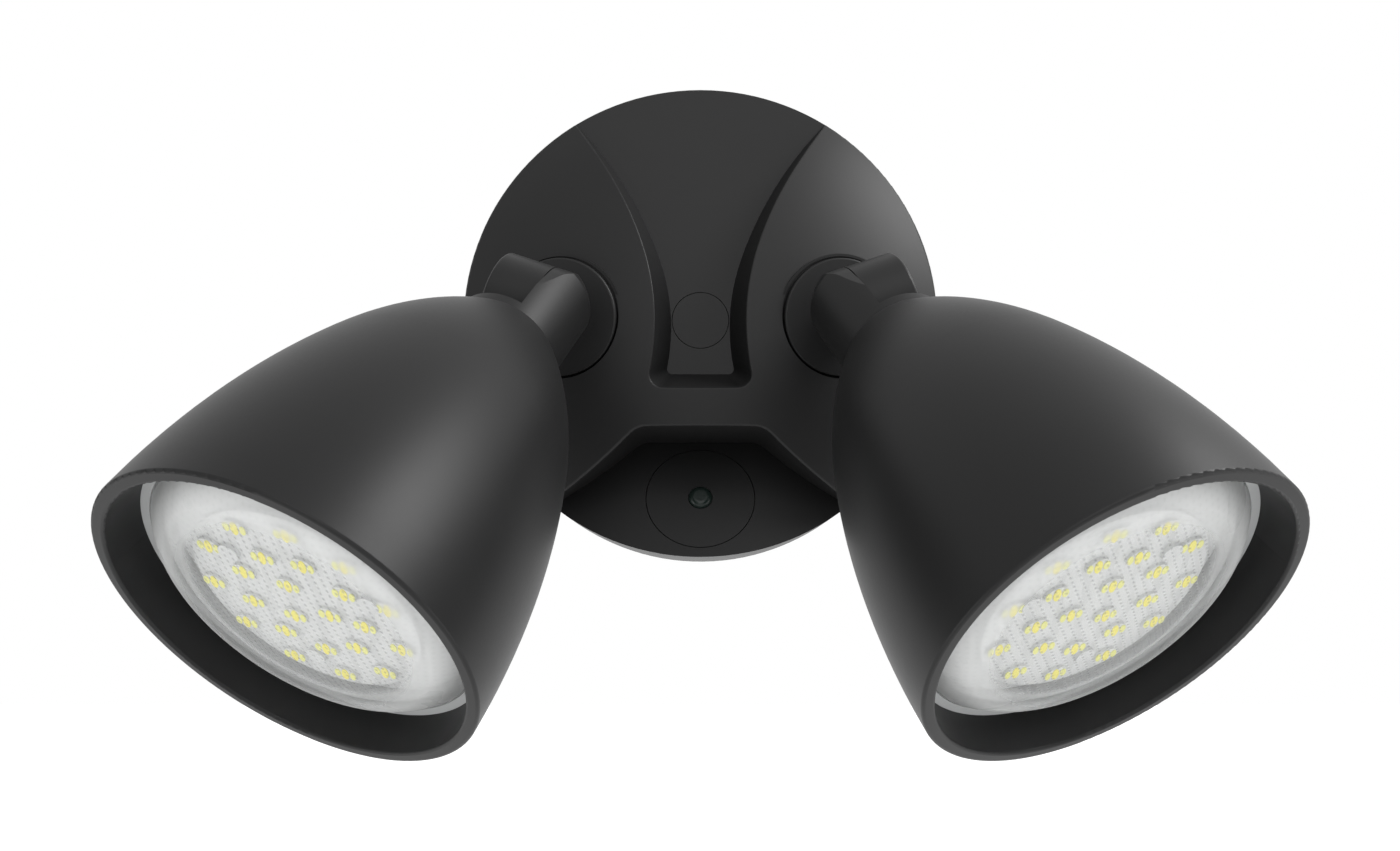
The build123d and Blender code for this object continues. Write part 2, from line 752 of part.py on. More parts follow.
def behind(back):
    """Distance from the elbow of a level given as a distance behind the mouth."""
    return mouth_reach - back


seal_back = lens_edge_back + bezel_thick + lens_flange_thick
ledge_back = seal_back + lens_seal_thick
with BuildPart() as head_shell:
    with BuildSketch(HEAD_CUT) as section:
        with BuildLine():
            skin = ThreePointArc(side(0, 0), side(shoulder_back / 2, 0), side(shoulder_back, 0))
            back = ThreePointArc(skin @ 1, shoulder((shoulder_back + rear_back) / 2, 0), shoulder(rear_back, 0))
            Polyline(back @ 1, (0, behind(rear_back)), (0, behind(0)), skin @ 0)
        make_face()
        with BuildLine():
            sides = ThreePointArc(side(ledge_back, head_wall), side(shoulder_back / 2, head_wall),
                                  side(shoulder_back, head_wall))
            inner_end = shoulder(rear_back - rear_wall, head_wall)
            backs = ThreePointArc(sides @ 1, shoulder((shoulder_back + rear_back) / 2, head_wall), inner_end)
            Polyline(backs @ 1, (0, inner_end[1]), (0, behind(ledge_back)), sides @ 0)
        make_face(mode=Mode.SUBTRACT)
        with BuildLine():
            rim = side(0, 0)
            Polyline((0, behind(0)), (rim[0] - lip_width, behind(0)), (seat_bore_r, behind(lens_edge_back)),
                     (seat_bore_r, behind(ledge_back)), (0, behind(ledge_back)), close=True)
        make_face(mode=Mode.SUBTRACT)
        with BuildLine():
            edge = side(ledge_back + ledge_thick / 2, head_wall)[0] + 1
            Polyline((ledge_in, behind(ledge_back)), (edge, behind(ledge_back)),
                     (edge, behind(ledge_back + ledge_thick)), (ledge_in, behind(ledge_back + ledge_thick)), close=True)
        make_face()
        with BuildLine():
            edge = side(sink_ledge_back, head_wall)[0] + 1
            low = behind(sink_ledge_back + sink_ledge_thick)
            Polyline((sink_ledge_in, behind(sink_ledge_back)), (edge, behind(sink_ledge_back)), (edge, low),
                     (sink_ledge_in, low), close=True)
        make_face()
        with BuildLine():
            Polyline((0, behind(rear_back)), (spigot_r + fit_gap, behind(rear_back)),
                     (spigot_r + fit_gap, behind(rear_back - 2 * rear_wall)), (0, behind(rear_back - 2 * rear_wall)),
                     close=True)
        make_face(mode=Mode.SUBTRACT)
        lip = section.vertices().sort_by_distance((side(0, 0)[0], behind(0)))[0:2]
        fillet(lip, lip_round)
    revolve(axis=head_axis)
    with BuildSketch(HEAD.offset(behind(sink_ledge_back))):
        with PolarLocations(sink_screw_ring, 3, 90):
            Circle(board_screw_r + thread_gap)
    extrude(amount=-sink_ledge_thick, mode=Mode.SUBTRACT)

with BuildPart() as neck_nut:
    with BuildSketch(HEAD.offset(inner_end[1])):
        RegularPolygon(neck_nut_af / 2, 6, major_radius=False)
        Circle(spigot_r + thread_gap, mode=Mode.SUBTRACT)
    extrude(amount=neck_nut_thick)

with BuildPart() as heat_sink:
    with BuildSketch(HEAD.offset(behind(sink_ledge_back))):
        Circle(sink_disc_r)
    extrude(amount=sink_disc_thick)
    with BuildSketch(HEAD.offset(behind(sink_ledge_back))):
        Circle(sink_shoulder_r)
    extrude(amount=sink_ledge_back - led_board_back - board_thick - reflector_wall)
    with BuildSketch(HEAD.offset(behind(sink_ledge_back))):
        Circle(sink_pedestal_r)
    extrude(amount=sink_ledge_back - led_board_back - board_thick)
    with BuildSketch(HEAD.offset(behind(sink_ledge_back))) as fins:
        with GridLocations(1, sink_fin_pitch, 1, sink_fin_count):
            Rectangle(2 * sink_fin_half, sink_fin_thick)
        Circle(sink_fin_half, mode=Mode.INTERSECT)
    extrude(amount=-sink_fin_length)
    with BuildSketch(HEAD.offset(behind(sink_ledge_back))):
        with PolarLocations(sink_screw_ring, 3, 90):
            Circle(board_screw_r + fit_gap)
    extrude(amount=sink_disc_thick, mode=Mode.SUBTRACT)
    with BuildSketch(HEAD.offset(behind(led_board_back + board_thick))):
        with PolarLocations(led_screw_ring, 3, 90):
            Circle(led_screw_r + thread_gap)
    extrude(amount=-led_screw_length, mode=Mode.SUBTRACT)

with BuildPart() as sink_screws:
    with BuildSketch(HEAD.offset(behind(sink_ledge_back - sink_disc_thick))):
        with PolarLocations(sink_screw_ring, 3, 90):
            Circle(board_screw_head_r)
    extrude(amount=small_head_height)
    with BuildSketch(HEAD.offset(behind(sink_ledge_back - sink_disc_thick))):
        with PolarLocations(sink_screw_ring, 3, 90):
            Circle(board_screw_r)
    extrude(amount=-sink_disc_thick - sink_ledge_thick + 0.3)

with BuildPart() as led_board:
    with BuildSketch(HEAD.offset(behind(led_board_back + board_thick))):
        Circle(led_board_r)
        with PolarLocations(led_screw_ring, 3, 90):
            Circle(led_screw_r + fit_gap, mode=Mode.SUBTRACT)
    extrude(amount=board_thick)

with BuildPart() as led_chips:
    with BuildSketch(HEAD.offset(behind(led_board_back))):
        for count, radius, start in led_rings:
            with PolarLocations(radius, count, start):
                Rectangle(led_size[0], led_size[1])
    extrude(amount=led_size[2])

with BuildPart() as led_screws:
    with BuildSketch(HEAD.offset(behind(led_board_back))):
        with PolarLocations(led_screw_ring, 3, 90):
            Circle(led_screw_head_r)
    extrude(amount=led_screw_head_height)
    with BuildSketch(HEAD.offset(behind(led_board_back))):
        with PolarLocations(led_screw_ring, 3, 90):
            Circle(led_screw_r)
    extrude(amount=-board_thick - led_screw_length + 1)

with BuildPart() as reflector:
    with BuildSketch(HEAD_CUT):
        with BuildLine():
            top = behind(led_board_back + board_thick)
            low = top - reflector_fall
            disc = behind(sink_ledge_back - sink_disc_thick)
            slope = reflector_fall / (reflector_out - reflector_flat)
            inner_skirt = reflector_skirt_r - reflector_wall
            outer_top = top - slope * (reflector_skirt_r - reflector_flat) - 1.2 * reflector_wall
            inner_top = top - slope * (inner_skirt - reflector_flat) - 1.2 * reflector_wall
            Polyline((reflector_in, top), (reflector_flat, top), (reflector_out, low),
                     (reflector_out, low - 1.2 * reflector_wall), (reflector_skirt_r, outer_top),
                     (reflector_skirt_r, disc), (inner_skirt, disc), (inner_skirt, inner_top),
                     (reflector_flat + 0.2, top - reflector_wall), (reflector_in, top - reflector_wall), close=True)
        make_face()
    revolve(axis=head_axis)

lens_seal = ring(HEAD.offset(behind(ledge_back)), lens_flange_r, lens_seal_in, lens_seal_thick)

with BuildPart() as lens:
    with BuildSketch(HEAD_CUT):
        with BuildLine():
            apex = behind(lens_edge_back - lens_height)
            crown = ThreePointArc((0, apex), (lens_crown_r / 2, apex - lens_crown_drop / 4),
                                  (lens_crown_r, apex - lens_crown_drop))
            flank = TangentArc(crown @ 1, (lens_r, behind(lens_edge_back)), tangent=crown % 1)
            flange = behind(lens_edge_back + bezel_thick)
            inner_r = lens_r - lens_thick
            foot = behind(seal_back)
            Polyline(flank @ 1, (lens_r, flange), (lens_flange_r, flange), (lens_flange_r, foot), (inner_r, foot))
            under = apex - lens_thick
            in_crown = ThreePointArc((0, under), (lens_crown_r / 2, under - lens_crown_drop / 4),
                                     (lens_crown_r, under - lens_crown_drop))
            in_flank = TangentArc(in_crown @ 1, (inner_r, behind(lens_edge_back + lens_thick / 2)),
                                  tangent=in_crown % 1)
            Line(in_flank @ 1, (inner_r, foot))
            Line((0, apex), (0, under))
        make_face()
    revolve(axis=head_axis)

lens_bezel = ring(HEAD.offset(behind(lens_edge_back + bezel_thick)), seat_bore_r - thread_gap, bezel_in, bezel_thick)

single = {
    "base_cover": base_cover, "wall_gasket": wall_gasket, "back_plate": back_plate,
    "plate_screws": plate_screws, "mounting_strap": mounting_strap, "ground_screw": ground_screw,
    "mounting_bolt": mounting_bolt, "bolt_seal": bolt_seal, "bolt_cap": bolt_cap, "wire_grommet": wire_grommet,
    "driver_board": driver_board, "board_screws": board_screws, "transformer": transformer,
    "capacitors": capacitors, "terminal_block": terminal_block, "sensor_bezel": sensor_bezel,
    "sensor_lens": sensor_lens, "sensor_board": sensor_board, "sensor_cell": sensor_cell,
    "sensor_screws": sensor_screws,
}
paired = {
    "swivel_arm": swivel_arm, "swivel_seal": swivel_seal, "swivel_washer": swivel_washer,
    "swivel_nut": swivel_nut, "tilt_cap": tilt_cap, "tilt_washer": tilt_washer, "tilt_screw": tilt_screw,
    "neck": neck, "neck_nut": neck_nut, "head_shell": head_shell, "heat_sink": heat_sink,
    "sink_screws": sink_screws, "led_board": led_board, "led_chips": led_chips, "led_screws": led_screws,
    "reflector": reflector, "lens_seal": lens_seal, "lens": lens, "lens_bezel": lens_bezel,
}

os.makedirs("parts", exist_ok=True)
for name, piece in single.items():
    save(name, piece.part)
for name, piece in paired.items():
    save_pair(name, piece.part)
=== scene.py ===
"""Dressed scene of a twin-head security light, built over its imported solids.

Metres, +Z up, the wall is the plane y = 0 and the light stands out along -Y.
"""

import logging
import math
from dataclasses import dataclass, field
from enum import Enum

import bmesh
import bpy
from mathutils import Matrix, Vector


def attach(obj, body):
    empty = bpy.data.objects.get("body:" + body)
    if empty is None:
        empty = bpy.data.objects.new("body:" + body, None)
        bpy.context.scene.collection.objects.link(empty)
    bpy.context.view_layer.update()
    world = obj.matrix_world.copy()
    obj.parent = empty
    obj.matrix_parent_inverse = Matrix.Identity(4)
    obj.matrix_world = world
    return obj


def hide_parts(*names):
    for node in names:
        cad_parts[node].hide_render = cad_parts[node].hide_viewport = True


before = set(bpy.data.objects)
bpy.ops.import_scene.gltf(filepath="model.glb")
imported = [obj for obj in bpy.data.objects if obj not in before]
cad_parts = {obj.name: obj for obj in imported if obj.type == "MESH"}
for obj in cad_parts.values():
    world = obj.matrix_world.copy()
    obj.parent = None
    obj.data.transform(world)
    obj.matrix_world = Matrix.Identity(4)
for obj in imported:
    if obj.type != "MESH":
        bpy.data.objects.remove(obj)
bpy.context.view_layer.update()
log = logging.getLogger("security_light")

Colour = tuple[float, float, float]
Point = tuple[float, float, float]
Pair = tuple[float, float]

MM = 0.001
PHOTO_WIDTH = 1400
PHOTO_HEIGHT = 851
ON_AXIS = 1e-7
RINGS = (1, 2, 3)
MIRROR_X = Matrix.Diagonal((-1.0, 1.0, 1.0, 1.0))
WHITE = (1.0, 1.0, 1.0, 1.0)
MIX_SHARE, MIX_LOW, MIX_HIGH, MIX_COLOUR_OUT = 0, 6, 7, 2
SEEN_RAYS = ("Is Camera Ray", "Is Glossy Ray", "Is Transmission Ray")


class Side(Enum):
    """Left or right lamp head, by the sign that X takes."""

    LEFT = 1
    RIGHT = -1

    @property
    def prefix(self) -> str:
        """Start of the names of this side's solids and bodies."""
        return self.name.lower() + "_"


class Sheen(Enum):
    """How polished a surface is, as a roughness."""

    SATIN = 0.42
    DULL = 0.6
    MATT = 0.85


@dataclass(frozen=True)
class Wire:
    """One number, colour or point that runs through a shader's nodes."""

    tree: bpy.types.NodeTree
    socket: bpy.types.NodeSocket

    def maths(self, operation: str, *others: "Wire | float", turned: bool = False) -> "Wire":
        """Join this wire and others in one maths node.

        Args:
            operation: Name of the node's operation.
            others: Wires or plain numbers for its further inputs.
            turned: Whether the others come before this wire.

        Returns:
            The wire that leaves the node.
        """
        values = (*others, self) if turned else (self, *others)
        settings = {"operation": operation}
        node = add_node(self.tree, "ShaderNodeMath", settings, dict(enumerate(values)))
        return Wire(self.tree, node.outputs[0])

    def __add__(self, other: "Wire | float") -> "Wire":
        """Sum of two values."""
        return self.maths("ADD", other)

    def __sub__(self, other: "Wire | float") -> "Wire":
        """This value less another."""
        return self.maths("SUBTRACT", other)

    def __rsub__(self, other: float) -> "Wire":
        """Another value less this one."""
        return self.maths("SUBTRACT", other, turned=True)

    def __mul__(self, other: "Wire | float") -> "Wire":
        """Product of two values."""
        return self.maths("MULTIPLY", other)

    def __truediv__(self, other: "Wire | float") -> "Wire":
        """This value over another."""
        return self.maths("DIVIDE", other)

    def __rtruediv__(self, other: float) -> "Wire":
        """Another value over this one."""
        return self.maths("DIVIDE", other, turned=True)

    __radd__ = __add__
    __rmul__ = __mul__

    def folded(self, pitch: float) -> "Wire":
        """Zigzag: 0 at each multiple of the pitch and 1 half way between."""
        return (self / pitch).maths("PINGPONG", 0.5) * 2.0

    def below(self, limit: float) -> "Wire":
        """1 where this value is under the limit, else 0."""
        return self.maths("LESS_THAN", limit)

    def larger(self, other: "Wire | float") -> "Wire":
        """The larger of two values."""
        return self.maths("MAXIMUM", other)

    def limited(self) -> "Wire":
        """This value held between 0 and 1."""
        return self.larger(0.0).maths("MINIMUM", 1.0)

    def faded(self, width: float) -> "Wire":
        """1 where this value is 0, falling to 0 over a width."""
        return (1.0 - self / width).larger(0.0)


def feed(tree: bpy.types.NodeTree, entry: bpy.types.NodeSocket, value: object) -> None:
    """Link a wire or an output into an input, or set a plain value on it.

    Args:
        tree: Tree that the input belongs to.
        entry: The input.
        value: Wire, output or plain value.
    """
    source = value.socket if isinstance(value, Wire) else value
    if isinstance(source, bpy.types.NodeSocket):
        tree.links.new(source, entry)
    else:
        entry.default_value = source


def add_node(
    tree: bpy.types.NodeTree,
    kind: str,
    settings: dict[str, object] | None = None,
    inputs: dict[str | int, object] | None = None,
) -> bpy.types.Node:
    """Add one node to a tree.

    Args:
        tree: Tree that takes the node.
        kind: Node type.
        settings: Attributes of the node, set first.
        inputs: Wires, outputs or plain values for its inputs, by name or place.

    Returns:
        The node.
    """
    node = tree.nodes.new(kind)
    for key, value in (settings or {}).items():
        setattr(node, key, value)
    for key, value in (inputs or {}).items():
        feed(tree, node.inputs[key], value)
    return node


@dataclass
class Bench:
    """One material while its nodes are put together."""

    name: str
    material: bpy.types.Material = field(init=False)
    tree: bpy.types.NodeTree = field(init=False)
    shader: bpy.types.Node = field(init=False)

    def __post_init__(self) -> None:
        """Make the material with its main shader and output."""
        self.material = bpy.data.materials.new(self.name)
        self.material.use_nodes = True
        self.tree = self.material.node_tree
        self.tree.nodes.clear()
        self.shader = add_node(self.tree, "ShaderNodeBsdfPrincipled")
        add_node(self.tree, "ShaderNodeOutputMaterial", inputs={"Surface": self.shader.outputs[0]})

    def node(self, kind: str, settings: dict, inputs: dict, out: str | int = 0) -> Wire:
        """Add one shader node with its settings and inputs, and take one output."""
        made = add_node(self.tree, "ShaderNode" + kind, settings, inputs)
        return Wire(self.tree, made.outputs[out])

    def place(self) -> Wire:
        """Point of the surface in the object's own metres."""
        return self.node("TexCoord", {}, {}, "Object")

    def placed(self, matrix: Matrix) -> Wire:
        """Point of the surface in a turned and shifted frame.

        Args:
            matrix: Matrix from that frame to the object.

        Returns:
            The point in that frame.
        """
        back = matrix.inverted()
        shift, turn = back.to_translation(), back.to_euler()
        inputs = {"Vector": self.place(), "Location": shift, "Rotation": turn}
        return self.node("Mapping", {}, inputs)

    def stretched(self, scale: Point) -> Wire:
        """Point of the surface scaled along each axis."""
        return self.node("Mapping", {}, {"Vector": self.place(), "Scale": scale})

    def axis(self, point: Wire, name: str) -> Wire:
        """One of a point's three numbers, by its axis."""
        return self.node("SeparateXYZ", {}, {0: point}, name)

    def noise(self, point: Wire, scale: float, detail: float = 2.0) -> Wire:
        """Noise between 0 and 1, with its scale in waves per metre."""
        return self.node("TexNoise", {}, {"Vector": point, "Scale": scale, "Detail": detail}, "Fac")

    def blend(self, share: Wire, low: Colour, high: Colour) -> Wire:
        """Colour between two, by a share from 0 to 1."""
        inputs = {MIX_SHARE: share, MIX_LOW: (*low, 1.0), MIX_HIGH: (*high, 1.0)}
        return self.node("Mix", {"data_type": "RGBA"}, inputs, MIX_COLOUR_OUT)

    def spread(self, share: Wire, low: float, high: float) -> Wire:
        """Number between two, by a share from 0 to 1."""
        return share * (high - low) + low

    def bump(self, height: Wire, distance: float) -> Wire:
        """Normal of a surface raised by a height times a distance."""
        return self.node("Bump", {}, {"Height": height, "Distance": distance})

    def rise(self, x: Wire, y: Wire, start: float, end: float) -> Wire:
        """Share that grows from 0 to 1 between two distances from the middle.

        Args:
            x: First distance of the point from the middle.
            y: Second distance, square to the first.
            start: Distance up to which the share is 0.
            end: Distance from which it is 1.

        Returns:
            The share.
        """
        reach = (x * x + y * y).maths("SQRT")
        return ((reach - start) / (end - start)).limited()

    def fit(self, **inputs: object) -> bpy.types.Material:
        """Fill the main shader's inputs.

        Args:
            inputs: Values or wires by socket name, with underscores for spaces.

        Returns:
            The material.
        """
        for key, value in inputs.items():
            feed(self.tree, self.shader.inputs[key.replace("_", " ")], value)
        return self.material


@dataclass(frozen=True)
class PowderCoat:
    """Satin black powder coat with its fine orange-peel grain."""

    name: str
    dark: Colour = (0.008, 0.008, 0.0082)
    light: Colour = (0.0105, 0.0105, 0.0105)
    smoothest: float = Sheen.SATIN.value - 0.03
    roughest: float = Sheen.SATIN.value + 0.05
    level: float = 0.2
    peel_scale: float = 1400.0
    peel_detail: float = 3.0
    peel_depth: float = 5e-6
    peel_share: float = 0.5
    patch_scale: float = 35.0

    def make(self) -> bpy.types.Material:
        """Build the coat.

        Returns:
            The material.
        """
        bench = Bench(self.name)
        point = bench.place()
        peel = bench.noise(point, self.peel_scale, self.peel_detail)
        patch = bench.noise(point, self.patch_scale)
        mixed = peel * self.peel_share + patch * (1.0 - self.peel_share)
        return bench.fit(
            Base_Color=bench.blend(patch, self.dark, self.light),
            Roughness=bench.spread(mixed, self.smoothest, self.roughest),
            Specular_IOR_Level=self.level,
            Normal=bench.bump(peel, self.peel_depth),
        )


@dataclass(frozen=True)
class MouldedPlastic:
    """Plastic moulding with a fine mould texture."""

    name: str
    colour: Colour
    roughness: float = Sheen.DULL.value
    roughness_swing: float = 0.05
    level: float = 0.5
    grain_scale: float = 1100.0
    grain_depth: float = 8e-6
    patch_scale: float = 60.0
    pale_gain: float = 1.06
    pale_lift: float = 0.002
    deep_gain: float = 0.93

    def make(self) -> bpy.types.Material:
        """Build the plastic.

        Returns:
            The material.
        """
        bench = Bench(self.name)
        point = bench.place()
        grain = bench.noise(point, self.grain_scale)
        patch = bench.noise(point, self.patch_scale)
        pale = tuple(min(1.0, part * self.pale_gain + self.pale_lift) for part in self.colour)
        deep = tuple(part * self.deep_gain for part in self.colour)
        low, high = self.roughness - self.roughness_swing, self.roughness + self.roughness_swing
        return bench.fit(
            Base_Color=bench.blend(patch, deep, pale),
            Roughness=bench.spread(grain, low, high),
            Specular_IOR_Level=self.level,
            Normal=bench.bump(grain, self.grain_depth),
        )


@dataclass(frozen=True)
class PlatedMetal:
    """Bare or plated metal with fine drawn scratches."""

    name: str
    colour: Colour
    roughness: float = Sheen.SATIN.value
    smoother: float = 0.14
    rougher: float = 0.02
    drawn: Point = (200.0, 1500.0, 1500.0)
    scratch_detail: float = 4.0
    scratch_depth: float = 4e-6
    stain_scale: float = 90.0
    stain_gain: float = 0.82

    def make(self) -> bpy.types.Material:
        """Build the metal.

        Returns:
            The material.
        """
        bench = Bench(self.name)
        scratch = bench.noise(bench.stretched(self.drawn), 1.0, self.scratch_detail)
        stain = bench.noise(bench.place(), self.stain_scale)
        deep = tuple(part * self.stain_gain for part in self.colour)
        low, high = self.roughness - self.smoother, self.roughness + self.rougher
        return bench.fit(
            Base_Color=bench.blend(stain, deep, self.colour),
            Metallic=1.0,
            Roughness=bench.spread(scratch, low, high),
            Normal=bench.bump(scratch, self.scratch_depth),
        )


@dataclass(frozen=True)
class CircuitBoard:
    """Board with solder mask over copper tracks."""

    name: str
    mask: Colour = (0.015, 0.12, 0.045)
    track: Colour = (0.03, 0.2, 0.07)
    pitch: float = 2.4 * MM
    row_pitch: float = 7.2 * MM
    line_share: float = 0.35
    row_share: float = 0.2
    track_height: float = 3e-5
    bend_scale: float = 120.0
    grain_scale: float = 700.0
    smoothest: float = 0.3
    roughest: float = 0.42

    def make(self) -> bpy.types.Material:
        """Build the board's face.

        Returns:
            The material.
        """
        bench = Bench(self.name)
        point = bench.place()
        bend = bench.noise(point, self.bend_scale) * self.pitch
        lines = (bench.axis(point, "X") + bend).folded(self.pitch).below(self.line_share)
        rows = (bench.axis(point, "Z") - bend).folded(self.row_pitch).below(self.row_share)
        tracks = lines.larger(rows)
        grain = bench.noise(point, self.grain_scale)
        return bench.fit(
            Base_Color=bench.blend(tracks, self.mask, self.track),
            Roughness=bench.spread(grain, self.smoothest, self.roughest),
            Normal=bench.bump(tracks, self.track_height),
        )


@dataclass(frozen=True)
class WhiteBoard:
    """White solder mask of the light board, with its faint copper fill."""

    name: str
    place: Matrix
    ground: Colour = (0.64, 0.65, 0.65)
    copper: Colour = (0.58, 0.59, 0.59)
    pitch: float = 5.5 * MM
    fill_share: float = 0.3
    fill_height: float = 2e-5
    wave_scale: float = 150.0
    grain_scale: float = 900.0
    smoothest: float = 0.42
    roughest: float = 0.52

    def make(self) -> bpy.types.Material:
        """Build the board's face.

        Returns:
            The material.
        """
        bench = Bench(self.name)
        point = bench.placed(self.place)
        wave = bench.noise(point, self.wave_scale) * self.pitch
        fill = (bench.axis(point, "X") + wave).folded(self.pitch).below(self.fill_share)
        grain = bench.noise(point, self.grain_scale)
        return bench.fit(
            Base_Color=bench.blend(fill, self.ground, self.copper),
            Roughness=bench.spread(grain, self.smoothest, self.roughest),
            Normal=bench.bump(fill, self.fill_height),
        )


@dataclass(frozen=True)
class LensSkin:
    """Smooth outside of the lens: clear over the light board and milky round it, with grey dots in
    rows painted as the prisms' shade.
    """

    name: str
    place: Matrix
    colour: Colour = (0.80, 0.81, 0.805)
    # painted shade: grey colour of the dots that stand for the shaded sides of the prisms
    dot: Colour = (0.74, 0.75, 0.745)
    veil: float = 0.16
    rim_veil: float = 0.55
    clear_to: float = 23.0 * MM
    milky_from: float = 28.0 * MM
    pitch: float = 1.5 * MM
    dot_width: float = 0.7
    dot_height: float = 8e-6
    smoothest: float = 0.25
    roughest: float = 0.31
    cloud_scale: float = 70.0
    level: float = 0.3

    def make(self) -> bpy.types.Material:
        """Build the skin.

        Returns:
            The material.
        """
        bench = Bench(self.name)
        point = bench.placed(self.place)
        x, y = bench.axis(point, "X"), bench.axis(point, "Y")
        milk = bench.rise(x, y, self.clear_to, self.milky_from)
        columns, rows = (line.folded(self.pitch).faded(self.dot_width) for line in (x, y))
        dots = columns * rows
        cloud = bench.noise(point, self.cloud_scale)
        return bench.fit(
            # the dot rows paint the prisms' shade into the colour
            Base_Color=bench.blend(dots, self.colour, self.dot),
            Roughness=bench.spread(cloud, self.smoothest, self.roughest),
            Alpha=bench.spread(milk, self.veil, self.rim_veil),
            Specular_IOR_Level=self.level,
            Normal=bench.bump(dots, self.dot_height),
        )


@dataclass(frozen=True)
class LensPrisms:
    """Inside of the lens: rows of small prisms over the light board, plain and milky round it, with
    dark painted shade at the prisms' crossings.
    """

    name: str
    place: Matrix
    across: float = 1.8 * MM
    along: float = 1.25 * MM
    depth: float = 0.05 * MM
    skew: float = 0.35
    wobble: float = 0.3 * MM
    wobble_scale: float = 700.0
    column_width: float = 0.5
    row_width: float = 0.9
    notch_gain: float = 1.7
    ground: Colour = (0.80, 0.81, 0.81)
    # painted shade: dark colour standing for the shaded sides of the prisms
    edge: Colour = (0.16, 0.16, 0.16)
    veil: float = 0.06
    rim_veil: float = 0.45
    edge_veil: float = 0.42
    board_reach: float = 22.5 * MM
    plain_from: float = 25.0 * MM
    smoothest: float = 0.35
    roughest: float = 0.5
    level: float = 0.2

    def make(self) -> bpy.types.Material:
        """Build the inner face.

        Returns:
            The material.
        """
        bench = Bench(self.name)
        point = bench.placed(self.place)
        x, y = bench.axis(point, "X"), bench.axis(point, "Y")
        sway = bench.noise(point, self.wobble_scale) * self.wobble
        columns = (x + y * self.skew + sway).folded(self.across)
        rows = (y + sway).folded(self.along)
        milk = bench.rise(x, y, self.board_reach, self.plain_from)
        crossing = columns.faded(self.column_width) * rows.faded(self.row_width)
        notch = (crossing * self.notch_gain).limited() * (1.0 - milk)
        veil = bench.spread(notch, self.veil, self.edge_veil)
        return bench.fit(
            # painted shade: the crossings are darkened towards the edge colour
            Base_Color=bench.blend(notch, self.ground, self.edge),
            Roughness=bench.spread(notch, self.smoothest, self.roughest),
            Alpha=veil + milk * (self.rim_veil - self.veil),
            Specular_IOR_Level=self.level,
            Normal=bench.bump(columns * rows, self.depth),
        )


@dataclass(frozen=True)
class Phosphor:
    """Yellow phosphor over a light-emitting die."""

    name: str
    pale: Colour
    deep: Colour
    grain_scale: float = 1800.0
    grain_height: float = 2e-5
    smoothest: float = 0.4
    roughest: float = 0.55

    def make(self) -> bpy.types.Material:
        """Build the phosphor.

        Returns:
            The material.
        """
        bench = Bench(self.name)
        grain = bench.noise(bench.place(), self.grain_scale)
        return bench.fit(
            Base_Color=bench.blend(grain, self.deep, self.pale),
            Roughness=bench.spread(grain, self.smoothest, self.roughest),
            Normal=bench.bump(grain, self.grain_height),
        )


def new_piece(name: str, mesh: bpy.types.Mesh) -> bpy.types.Object:
    """Put a mesh into the scene as an object at the origin.

    Args:
        name: Name of the object.
        mesh: Its mesh.

    Returns:
        The object.
    """
    piece = bpy.data.objects.new(name, mesh)
    bpy.context.scene.collection.objects.link(piece)
    return piece


def turned_mesh(name: str, profile: list[Pair], place: Matrix, steps: int) -> bpy.types.Mesh:
    """Closed body of revolution.

    Args:
        name: Name of the mesh.
        profile: Radius and height of each point of a closed outline, in metres.
        place: Matrix that takes the turning axis, local Z, to its place.
        steps: Number of steps round.

    Returns:
        The mesh, shaded smooth, with its faces outwards.
    """
    shape = bmesh.new()
    turns = [2 * math.pi * step / steps for step in range(steps)]
    rings = []
    for radius, height in profile:
        if radius < ON_AXIS:
            rings.append([shape.verts.new((0.0, 0.0, height))] * steps)
            continue
        spots = [(radius * math.cos(turn), radius * math.sin(turn), height) for turn in turns]
        rings.append([shape.verts.new(spot) for spot in spots])
    for ring, after in zip(rings, rings[1:] + rings[:1]):
        for step in range(steps):
            follow = (step + 1) % steps
            corners = list(dict.fromkeys([ring[step], ring[follow], after[follow], after[step]]))
            if len(corners) > 2:
                shape.faces.new(corners)
    bmesh.ops.recalc_face_normals(shape, faces=shape.faces)
    for face in shape.faces:
        face.smooth = True
    mesh = bpy.data.meshes.new(name)
    shape.to_mesh(mesh)
    shape.free()
    mesh.transform(place)
    return mesh


@dataclass(frozen=True)
class Unit:
    """One small rounded block of a light-emitting chip, as it sits on the board.

    The lift is the height of its middle over the board. The shift from the chip's middle runs
    along the tilt axis, then towards the top of the head.
    """

    name: str
    size: Point
    lift: float
    shift: Pair = (0.0, 0.0)


